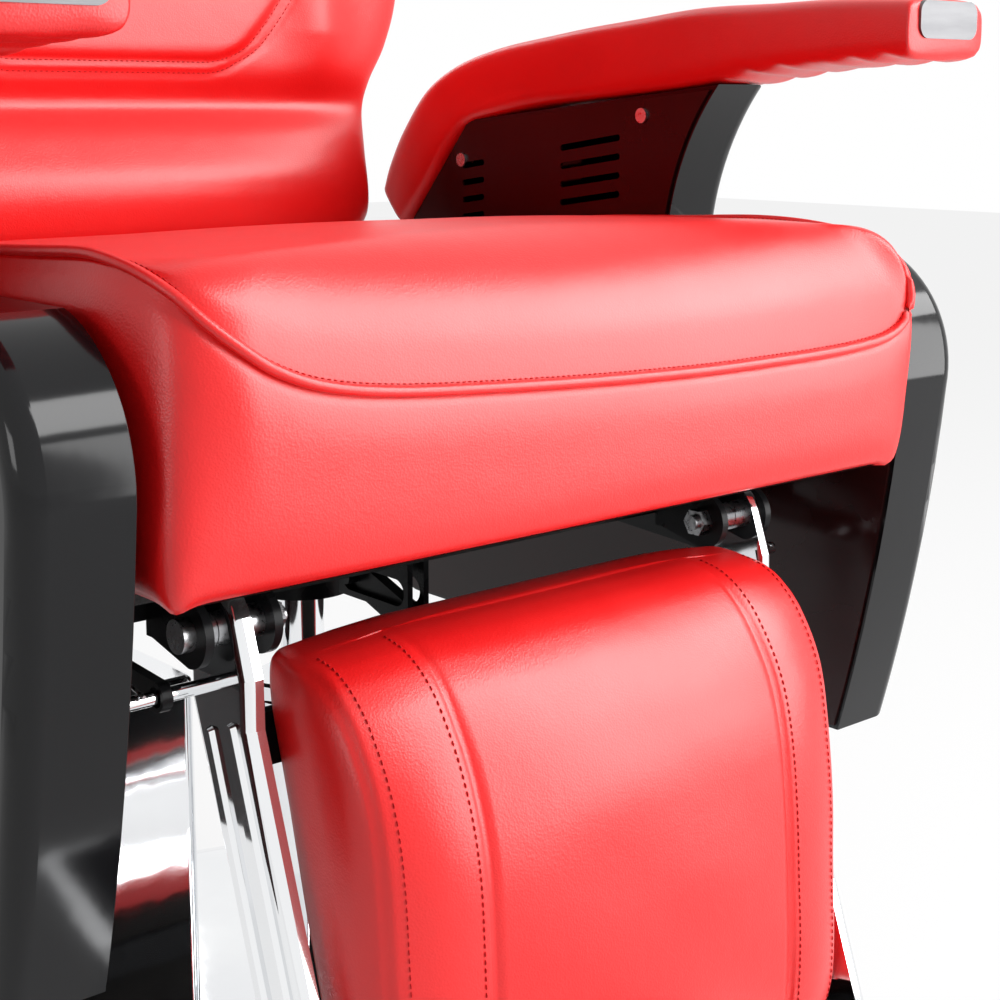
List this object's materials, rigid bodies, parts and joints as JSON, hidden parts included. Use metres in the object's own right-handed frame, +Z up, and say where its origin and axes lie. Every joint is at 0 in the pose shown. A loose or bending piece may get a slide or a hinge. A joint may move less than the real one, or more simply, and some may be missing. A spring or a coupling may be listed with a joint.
{
  "type": "barber chair",
  "caption": "Reclining hydraulic barber chair with padded seat, back, arms, headrest and leg rest, black side shells and a round pump base.",
  "frame": {"origin": "on the floor, on the axis of the lifting column, at the middle of the base plate's underside", "axes": "+Z up, the sitter faces -Y, +X is the sitter's left"},
  "size_m": [0.732, 0.9151, 1.2153],
  "materials": {
    "red_leather": "smooth synthetic leather, semi-gloss",
    "black_gloss": "polished black",
    "black_paint": "satin black powder coat",
    "chrome": "mirror chrome plate",
    "bright_steel": "zinc-plated steel",
    "plywood": "plywood",
    "black_rubber": "matt moulded rubber",
    "iron": "black painted casting",
    "knob_black": "moulded black plastic",
    "grey_metal": "satin anodised"
  },
  "bodies": {
    "base": {"base_plate": "iron", "base_dish": "chrome", "pump_cylinder": "chrome", "pump_gland": "chrome", "pump_cover": "chrome", "pump_body": "iron", "pedal_shaft": "bright_steel"},
    "pedal": {"pedal_lever": "chrome", "pedal_pad": "black_rubber"},
    "piston": {"piston_rod": "chrome"},
    "leg_rest": {"leg_arm_right": "chrome", "leg_arm_left": "chrome", "leg_board": "plywood", "leg_cross_bars": "black_paint", "leg_pad": "red_leather", "footrest_shaft": "chrome"},
    "footrest": {"footrest_plate": "chrome", "footrest_tread": "black_rubber"},
    "right_link": {"link_right": "black_paint"},
    "left_link": {"link_left": "black_paint"},
    "middle_link": {"centre_link": "black_paint"},
    "back": {"back_arm_right": "black_paint", "back_arm_left": "black_paint", "back_tube": "black_paint", "back_board": "plywood", "back_cushion": "red_leather", "headrest_guide": "black_paint"},
    "lock_rod": {"recline_rod": "bright_steel"},
    "headrest": {"headrest_frame": "chrome", "headrest_pad": "red_leather"},
    "headrest_clamp": {"headrest_knob": "knob_black"},
    "recline_handle": {"recline_lever": "chrome", "lever_knob": "knob_black"},
    "seat": {"swivel_hub": "black_paint", "seat_rails": "black_paint", "front_cross_tube": "black_paint", "rear_cross_bar": "black_paint", "side_plates": "black_paint", "seat_board": "plywood", "seat_cushion": "red_leather", "leg_bracket_right": "black_paint", "leg_bracket_left": "black_paint", "leg_pivot_bolts": "chrome", "leg_pivot_nuts": "chrome", "leg_pivot_spacers": "chrome", "link_guide": "black_paint", "spring_right": "bright_steel", "spring_left": "bright_steel", "shell_right": "black_gloss", "shell_left": "black_gloss", "shell_plate_right": "black_paint", "shell_plate_left": "black_paint", "plate_screws": "bright_steel", "shell_spacers": "black_paint", "arm_bars": "bright_steel", "arm_pad_right": "red_leather", "arm_pad_left": "red_leather", "arm_caps": "grey_metal", "back_hinge_pins": "bright_steel", "recline_cylinder": "bright_steel"}
  },
  "joints": [
    {"name": "seat_lift", "type": "slide", "parent": "base", "child": "piston", "axis": [0, 0, 1], "range_m": [0, 0.16]},
    {"name": "seat_swivel", "type": "hinge", "parent": "piston", "child": "seat", "pos_m": [0, 0, 0.392], "axis": [0, 0, 1], "continuous": true},
    {"name": "back_recline", "type": "hinge", "parent": "seat", "child": "back", "pos_m": [0, 0.238, 0.42], "axis": [-1, 0, 0], "range_deg": [0, 56]},
    {"name": "leg_swing", "type": "hinge", "parent": "seat", "child": "leg_rest", "pos_m": [0, -0.212, 0.41], "axis": [-1, 0, 0], "range_deg": [0, 28], "deforming": ["spring_right", "spring_left"]},
    {"name": "right_link_pivot", "type": "hinge", "parent": "back", "child": "right_link", "pos_m": [0.225, 0.24598, 0.40498], "axis": [-1, 0, 0], "range_deg": [-56, 0]},
    {"name": "left_link_pivot", "type": "hinge", "parent": "back", "child": "left_link", "pos_m": [-0.225, 0.24598, 0.40498], "axis": [-1, 0, 0], "range_deg": [-56, 0]},
    {"name": "lock_rod_pivot", "type": "hinge", "parent": "back", "child": "lock_rod", "pos_m": [0.056, 0.25866, 0.38115], "axis": [-1, 0, 0], "range_deg": [-56, 0]},
    {"name": "middle_link_pivot", "type": "hinge", "parent": "leg_rest", "child": "middle_link", "pos_m": [0, -0.222, 0.322], "axis": [-1, 0, 0], "range_deg": [-22.96, 0]},
    {"name": "footrest_fold", "type": "hinge", "parent": "leg_rest", "child": "footrest", "pos_m": [0, -0.32432, 0.0838], "axis": [-1, 0, 0], "range_deg": [0, 70]},
    {"name": "headrest_slide", "type": "slide", "parent": "back", "child": "headrest", "axis": [0, 0.1392, 0.9903], "range_m": [0, 0.08]},
    {"name": "headrest_knob_turn", "type": "hinge", "parent": "back", "child": "headrest_clamp", "pos_m": [0, 0.39492, 0.97607], "axis": [0, 0.9903, -0.1392], "range_deg": [0, 360]},
    {"name": "recline_handle_pull", "type": "hinge", "parent": "seat", "child": "recline_handle", "pos_m": [-0.338, 0.06, 0.33], "axis": [-1, 0, 0], "range_deg": [0, 25], "stiffness_Nm_per_rad": 4, "springref_deg": -28.65},
    {"name": "pedal_press", "type": "hinge", "parent": "base", "child": "pedal", "pos_m": [-0.13, 0.1, 0.094], "axis": [-1, 0, 0], "range_deg": [0, 10], "stiffness_Nm_per_rad": 60, "springref_deg": -20.05}
  ],
  "couplings": [
    {"joint": "leg_swing", "follows": "back_recline", "ratio": 0.5},
    {"joint": "right_link_pivot", "follows": "back_recline", "ratio": -1},
    {"joint": "left_link_pivot", "follows": "back_recline", "ratio": -1},
    {"joint": "lock_rod_pivot", "follows": "back_recline", "ratio": -1},
    {"joint": "middle_link_pivot", "follows": "back_recline", "ratio": -0.41}
  ]
}
